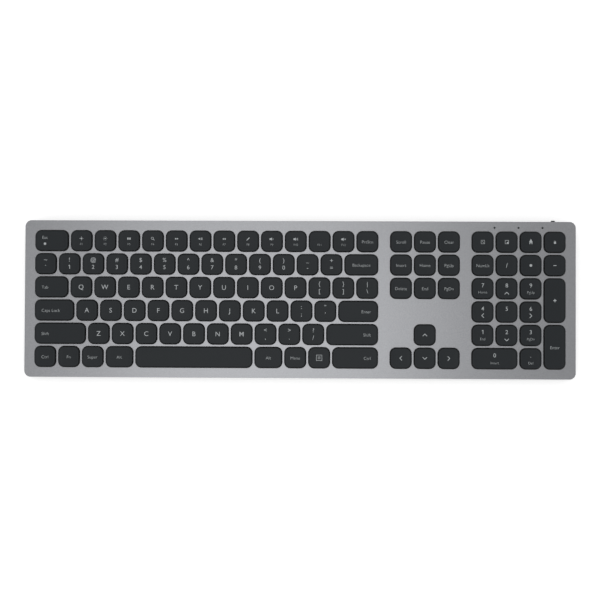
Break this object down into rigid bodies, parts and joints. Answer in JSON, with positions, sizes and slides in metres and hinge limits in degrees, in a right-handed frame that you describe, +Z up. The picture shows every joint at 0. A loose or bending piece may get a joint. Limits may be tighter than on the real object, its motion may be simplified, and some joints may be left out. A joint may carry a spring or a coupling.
{
  "type": "full-size keyboard with numeric keypad",
  "caption": "Thin full-size keyboard: rounded charcoal keys in a grey aluminium plate on a wedge-shaped base, with arrow keys, a numeric keypad at the right and a rear power switch.",
  "frame": {"origin": "middle of the bounding box's bottom, on the table that the feet stand on", "axes": "+X along the key rows towards the numeric keypad, +Y towards the rear edge, +Z up"},
  "size_m": [0.4388, 0.1276, 0.0209],
  "materials": {
    "anodised_aluminium": "fine blasted, space-grey anodised",
    "cover_plastic": "fine moulded texture",
    "guide_plastic": "moulded",
    "silicone": "translucent grey moulded",
    "circuit_film": "clear polyester with printed tracks",
    "steel_sheet": "galvanised",
    "circuit_board": "solder mask",
    "component_plastic": "moulded",
    "socket_steel": "nickel plated",
    "knob_plastic": "moulded",
    "battery_foil": "laminated pouch",
    "clear_plastic": "clear moulded",
    "foot_rubber": "moulded",
    "screw_steel": "zinc plated",
    "keycap_plastic": "fine matte, charcoal",
    "spring_wire": "drawn wire"
  },
  "bodies": {
    "case": {"top_plate": "anodised_aluminium", "bottom_cover": "cover_plastic", "key_guide_frame": "guide_plastic", "dome_sheet": "silicone", "membrane_circuit": "circuit_film", "support_plate": "steel_sheet", "controller_board": "circuit_board", "board_components": "component_plastic", "charge_port": "socket_steel", "power_switch_body": "socket_steel", "battery_pack": "battery_foil", "indicator_light_pipes": "clear_plastic", "rubber_feet": "foot_rubber", "case_screws": "screw_steel"},
    "power_switch_knob": {"power_switch_knob": "knob_plastic"},
    "function_row_keys": {"function_row_keys": "keycap_plastic"},
    "number_row_keys": {"number_row_keys": "keycap_plastic"},
    "backspace_key": {"backspace_key": "keycap_plastic"},
    "upper_row_keys": {"upper_row_keys": "keycap_plastic"},
    "home_row_keys": {"home_row_keys": "keycap_plastic"},
    "enter_key": {"enter_key": "keycap_plastic"},
    "left_shift_key": {"left_shift_key": "keycap_plastic"},
    "lower_row_keys": {"lower_row_keys": "keycap_plastic"},
    "right_shift_key": {"right_shift_key": "keycap_plastic"},
    "modifier_keys": {"modifier_keys": "keycap_plastic"},
    "space_bar": {"space_bar": "keycap_plastic"},
    "right_control_key": {"right_control_key": "keycap_plastic"},
    "nav_keys": {"nav_keys": "keycap_plastic"},
    "up_arrow_key": {"up_arrow_key": "keycap_plastic"},
    "left_arrow_key": {"left_arrow_key": "keycap_plastic"},
    "down_arrow_key": {"down_arrow_key": "keycap_plastic"},
    "right_arrow_key": {"right_arrow_key": "keycap_plastic"},
    "pad_hotkey_1": {"pad_hotkey_1": "keycap_plastic"},
    "pad_hotkey_2": {"pad_hotkey_2": "keycap_plastic"},
    "pad_hotkey_3": {"pad_hotkey_3": "keycap_plastic"},
    "pad_hotkey_4": {"pad_hotkey_4": "keycap_plastic"},
    "pad_num_lock_key": {"pad_num_lock_key": "keycap_plastic"},
    "pad_divide_key": {"pad_divide_key": "keycap_plastic"},
    "pad_multiply_key": {"pad_multiply_key": "keycap_plastic"},
    "pad_minus_key": {"pad_minus_key": "keycap_plastic"},
    "pad_7_key": {"pad_7_key": "keycap_plastic"},
    "pad_8_key": {"pad_8_key": "keycap_plastic"},
    "pad_9_key": {"pad_9_key": "keycap_plastic"},
    "pad_plus_key": {"pad_plus_key": "keycap_plastic"},
    "pad_4_key": {"pad_4_key": "keycap_plastic"},
    "pad_5_key": {"pad_5_key": "keycap_plastic"},
    "pad_6_key": {"pad_6_key": "keycap_plastic"},
    "pad_1_key": {"pad_1_key": "keycap_plastic"},
    "pad_2_key": {"pad_2_key": "keycap_plastic"},
    "pad_3_key": {"pad_3_key": "keycap_plastic"},
    "pad_enter_key": {"pad_enter_key": "keycap_plastic"},
    "pad_0_key": {"pad_0_key": "keycap_plastic"},
    "pad_point_key": {"pad_point_key": "keycap_plastic"},
    "left_shift_key_wire": {"left_shift_key_wire": "spring_wire"},
    "right_shift_key_wire": {"right_shift_key_wire": "spring_wire"},
    "space_bar_wire": {"space_bar_wire": "spring_wire"},
    "right_control_key_wire": {"right_control_key_wire": "spring_wire"},
    "pad_plus_key_wire": {"pad_plus_key_wire": "spring_wire"},
    "pad_enter_key_wire": {"pad_enter_key_wire": "spring_wire"},
    "pad_0_key_wire": {"pad_0_key_wire": "spring_wire"}
  },
  "joints": [
    {"name": "power_switch_slide", "type": "slide", "parent": "case", "child": "power_switch_knob", "axis": [-1, 0, 0], "range_m": [0, 0.0025]},
    {"name": "function_row_keys_press", "type": "slide", "parent": "case", "child": "function_row_keys", "axis": [0, 0.0698, -0.9976], "range_m": [0, 0.0018], "stiffness_N_per_m": 4200, "springref_m": -0.0005},
    {"name": "number_row_keys_press", "type": "slide", "parent": "case", "child": "number_row_keys", "axis": [0, 0.0698, -0.9976], "range_m": [0, 0.0018], "stiffness_N_per_m": 3900, "springref_m": -0.0005},
    {"name": "backspace_key_press", "type": "slide", "parent": "case", "child": "backspace_key", "axis": [0, 0.0698, -0.9976], "range_m": [0, 0.0018], "stiffness_N_per_m": 300, "springref_m": -0.0005},
    {"name": "upper_row_keys_press", "type": "slide", "parent": "case", "child": "upper_row_keys", "axis": [0, 0.0698, -0.9976], "range_m": [0, 0.0018], "stiffness_N_per_m": 4200, "springref_m": -0.0005},
    {"name": "home_row_keys_press", "type": "slide", "parent": "case", "child": "home_row_keys", "axis": [0, 0.0698, -0.9976], "range_m": [0, 0.0018], "stiffness_N_per_m": 3600, "springref_m": -0.0005},
    {"name": "enter_key_press", "type": "slide", "parent": "case", "child": "enter_key", "axis": [0, 0.0698, -0.9976], "range_m": [0, 0.0018], "stiffness_N_per_m": 300, "springref_m": -0.0005},
    {"name": "left_shift_key_press", "type": "slide", "parent": "case", "child": "left_shift_key", "axis": [0, 0.0698, -0.9976], "range_m": [0, 0.0018], "stiffness_N_per_m": 300, "springref_m": -0.0005},
    {"name": "lower_row_keys_press", "type": "slide", "parent": "case", "child": "lower_row_keys", "axis": [0, 0.0698, -0.9976], "range_m": [0, 0.0018], "stiffness_N_per_m": 3000, "springref_m": -0.0005},
    {"name": "right_shift_key_press", "type": "slide", "parent": "case", "child": "right_shift_key", "axis": [0, 0.0698, -0.9976], "range_m": [0, 0.0018], "stiffness_N_per_m": 300, "springref_m": -0.0005},
    {"name": "modifier_keys_press", "type": "slide", "parent": "case", "child": "modifier_keys", "axis": [0, 0.0698, -0.9976], "range_m": [0, 0.0018], "stiffness_N_per_m": 2100, "springref_m": -0.0005},
    {"name": "space_bar_press", "type": "slide", "parent": "case", "child": "space_bar", "axis": [0, 0.0698, -0.9976], "range_m": [0, 0.0018], "stiffness_N_per_m": 300, "springref_m": -0.0005, "deforming": ["dome_sheet"]},
    {"name": "right_control_key_press", "type": "slide", "parent": "case", "child": "right_control_key", "axis": [0, 0.0698, -0.9976], "range_m": [0, 0.0018], "stiffness_N_per_m": 300, "springref_m": -0.0005},
    {"name": "nav_keys_press", "type": "slide", "parent": "case", "child": "nav_keys", "axis": [0, 0.0698, -0.9976], "range_m": [0, 0.0018], "stiffness_N_per_m": 2700, "springref_m": -0.0005},
    {"name": "up_arrow_key_press", "type": "slide", "parent": "case", "child": "up_arrow_key", "axis": [0, 0.0698, -0.9976], "range_m": [0, 0.0018], "stiffness_N_per_m": 300, "springref_m": -0.0005},
    {"name": "left_arrow_key_press", "type": "slide", "parent": "case", "child": "left_arrow_key", "axis": [0, 0.0698, -0.9976], "range_m": [0, 0.0018], "stiffness_N_per_m": 300, "springref_m": -0.0005},
    {"name": "down_arrow_key_press", "type": "slide", "parent": "case", "child": "down_arrow_key", "axis": [0, 0.0698, -0.9976], "range_m": [0, 0.0018], "stiffness_N_per_m": 300, "springref_m": -0.0005},
    {"name": "right_arrow_key_press", "type": "slide", "parent": "case", "child": "right_arrow_key", "axis": [0, 0.0698, -0.9976], "range_m": [0, 0.0018], "stiffness_N_per_m": 300, "springref_m": -0.0005},
    {"name": "pad_hotkey_1_press", "type": "slide", "parent": "case", "child": "pad_hotkey_1", "axis": [0, 0.0698, -0.9976], "range_m": [0, 0.0018], "stiffness_N_per_m": 300, "springref_m": -0.0005},
    {"name": "pad_hotkey_2_press", "type": "slide", "parent": "case", "child": "pad_hotkey_2", "axis": [0, 0.0698, -0.9976], "range_m": [0, 0.0018], "stiffness_N_per_m": 300, "springref_m": -0.0005},
    {"name": "pad_hotkey_3_press", "type": "slide", "parent": "case", "child": "pad_hotkey_3", "axis": [0, 0.0698, -0.9976], "range_m": [0, 0.0018], "stiffness_N_per_m": 300, "springref_m": -0.0005},
    {"name": "pad_hotkey_4_press", "type": "slide", "parent": "case", "child": "pad_hotkey_4", "axis": [0, 0.0698, -0.9976], "range_m": [0, 0.0018], "stiffness_N_per_m": 300, "springref_m": -0.0005},
    {"name": "pad_num_lock_key_press", "type": "slide", "parent": "case", "child": "pad_num_lock_key", "axis": [0, 0.0698, -0.9976], "range_m": [0, 0.0018], "stiffness_N_per_m": 300, "springref_m": -0.0005},
    {"name": "pad_divide_key_press", "type": "slide", "parent": "case", "child": "pad_divide_key", "axis": [0, 0.0698, -0.9976], "range_m": [0, 0.0018], "stiffness_N_per_m": 300, "springref_m": -0.0005},
    {"name": "pad_multiply_key_press", "type": "slide", "parent": "case", "child": "pad_multiply_key", "axis": [0, 0.0698, -0.9976], "range_m": [0, 0.0018], "stiffness_N_per_m": 300, "springref_m": -0.0005},
    {"name": "pad_minus_key_press", "type": "slide", "parent": "case", "child": "pad_minus_key", "axis": [0, 0.0698, -0.9976], "range_m": [0, 0.0018], "stiffness_N_per_m": 300, "springref_m": -0.0005},
    {"name": "pad_7_key_press", "type": "slide", "parent": "case", "child": "pad_7_key", "axis": [0, 0.0698, -0.9976], "range_m": [0, 0.0018], "stiffness_N_per_m": 300, "springref_m": -0.0005},
    {"name": "pad_8_key_press", "type": "slide", "parent": "case", "child": "pad_8_key", "axis": [0, 0.0698, -0.9976], "range_m": [0, 0.0018], "stiffness_N_per_m": 300, "springref_m": -0.0005},
    {"name": "pad_9_key_press", "type": "slide", "parent": "case", "child": "pad_9_key", "axis": [0, 0.0698, -0.9976], "range_m": [0, 0.0018], "stiffness_N_per_m": 300, "springref_m": -0.0005},
    {"name": "pad_plus_key_press", "type": "slide", "parent": "case", "child": "pad_plus_key", "axis": [0, 0.0698, -0.9976], "range_m": [0, 0.0018], "stiffness_N_per_m": 300, "springref_m": -0.0005},
    {"name": "pad_4_key_press", "type": "slide", "parent": "case", "child": "pad_4_key", "axis": [0, 0.0698, -0.9976], "range_m": [0, 0.0018], "stiffness_N_per_m": 300, "springref_m": -0.0005},
    {"name": "pad_5_key_press", "type": "slide", "parent": "case", "child": "pad_5_key", "axis": [0, 0.0698, -0.9976], "range_m": [0, 0.0018], "stiffness_N_per_m": 300, "springref_m": -0.0005},
    {"name": "pad_6_key_press", "type": "slide", "parent": "case", "child": "pad_6_key", "axis": [0, 0.0698, -0.9976], "range_m": [0, 0.0018], "stiffness_N_per_m": 300, "springref_m": -0.0005},
    {"name": "pad_1_key_press", "type": "slide", "parent": "case", "child": "pad_1_key", "axis": [0, 0.0698, -0.9976], "range_m": [0, 0.0018], "stiffness_N_per_m": 300, "springref_m": -0.0005},
    {"name": "pad_2_key_press", "type": "slide", "parent": "case", "child": "pad_2_key", "axis": [0, 0.0698, -0.9976], "range_m": [0, 0.0018], "stiffness_N_per_m": 300, "springref_m": -0.0005},
    {"name": "pad_3_key_press", "type": "slide", "parent": "case", "child": "pad_3_key", "axis": [0, 0.0698, -0.9976], "range_m": [0, 0.0018], "stiffness_N_per_m": 300, "springref_m": -0.0005},
    {"name": "pad_enter_key_press", "type": "slide", "parent": "case", "child": "pad_enter_key", "axis": [0, 0.0698, -0.9976], "range_m": [0, 0.0018], "stiffness_N_per_m": 300, "springref_m": -0.0005},
    {"name": "pad_0_key_press", "type": "slide", "parent": "case", "child": "pad_0_key", "axis": [0, 0.0698, -0.9976], "range_m": [0, 0.0018], "stiffness_N_per_m": 300, "springref_m": -0.0005},
    {"name": "pad_point_key_press", "type": "slide", "parent": "case", "child": "pad_point_key", "axis": [0, 0.0698, -0.9976], "range_m": [0, 0.0018], "stiffness_N_per_m": 300, "springref_m": -0.0005},
    {"name": "left_shift_key_wire_swing", "type": "hinge", "parent": "left_shift_key", "child": "left_shift_key_wire", "pos_m": [-0.19062, -0.02392, 0.01386], "axis": [1, 0, 0], "range_deg": [-16.77, 0]},
    {"name": "right_shift_key_wire_swing", "type": "hinge", "parent": "right_shift_key", "child": "right_shift_key_wire", "pos_m": [0.04213, -0.02392, 0.01386], "axis": [1, 0, 0], "range_deg": [-16.77, 0]},
    {"name": "space_bar_wire_swing", "type": "hinge", "parent": "space_bar", "child": "space_bar_wire", "pos_m": [-0.08375, -0.04238, 0.01256], "axis": [1, 0, 0], "range_deg": [-16.77, 0]},
    {"name": "right_control_key_wire_swing", "type": "hinge", "parent": "right_control_key", "child": "right_control_key_wire", "pos_m": [0.0445, -0.04238, 0.01256], "axis": [1, 0, 0], "range_deg": [-16.77, 0]},
    {"name": "pad_plus_key_wire_swing", "type": "hinge", "parent": "pad_plus_key", "child": "pad_plus_key_wire", "pos_m": [0.1973, -0.00143, 0.01543], "axis": [0, 0.9976, 0.0698], "range_deg": [-16.77, 0]},
    {"name": "pad_enter_key_wire_swing", "type": "hinge", "parent": "pad_enter_key", "child": "pad_enter_key_wire", "pos_m": [0.1973, -0.03834, 0.01285], "axis": [0, 0.9976, 0.0698], "range_deg": [-16.77, 0]},
    {"name": "pad_0_key_wire_swing", "type": "hinge", "parent": "pad_0_key", "child": "pad_0_key_wire", "pos_m": [0.155, -0.04238, 0.01256], "axis": [1, 0, 0], "range_deg": [-16.77, 0]}
  ],
  "couplings": [
    {"joint": "left_shift_key_wire_swing", "follows": "left_shift_key_press", "rad_per_m": -159.72},
    {"joint": "right_shift_key_wire_swing", "follows": "right_shift_key_press", "rad_per_m": -159.72},
    {"joint": "space_bar_wire_swing", "follows": "space_bar_press", "rad_per_m": -159.72},
    {"joint": "right_control_key_wire_swing", "follows": "right_control_key_press", "rad_per_m": -159.72},
    {"joint": "pad_plus_key_wire_swing", "follows": "pad_plus_key_press", "rad_per_m": -159.72},
    {"joint": "pad_enter_key_wire_swing", "follows": "pad_enter_key_press", "rad_per_m": -159.72},
    {"joint": "pad_0_key_wire_swing", "follows": "pad_0_key_press", "rad_per_m": -159.72}
  ]
}
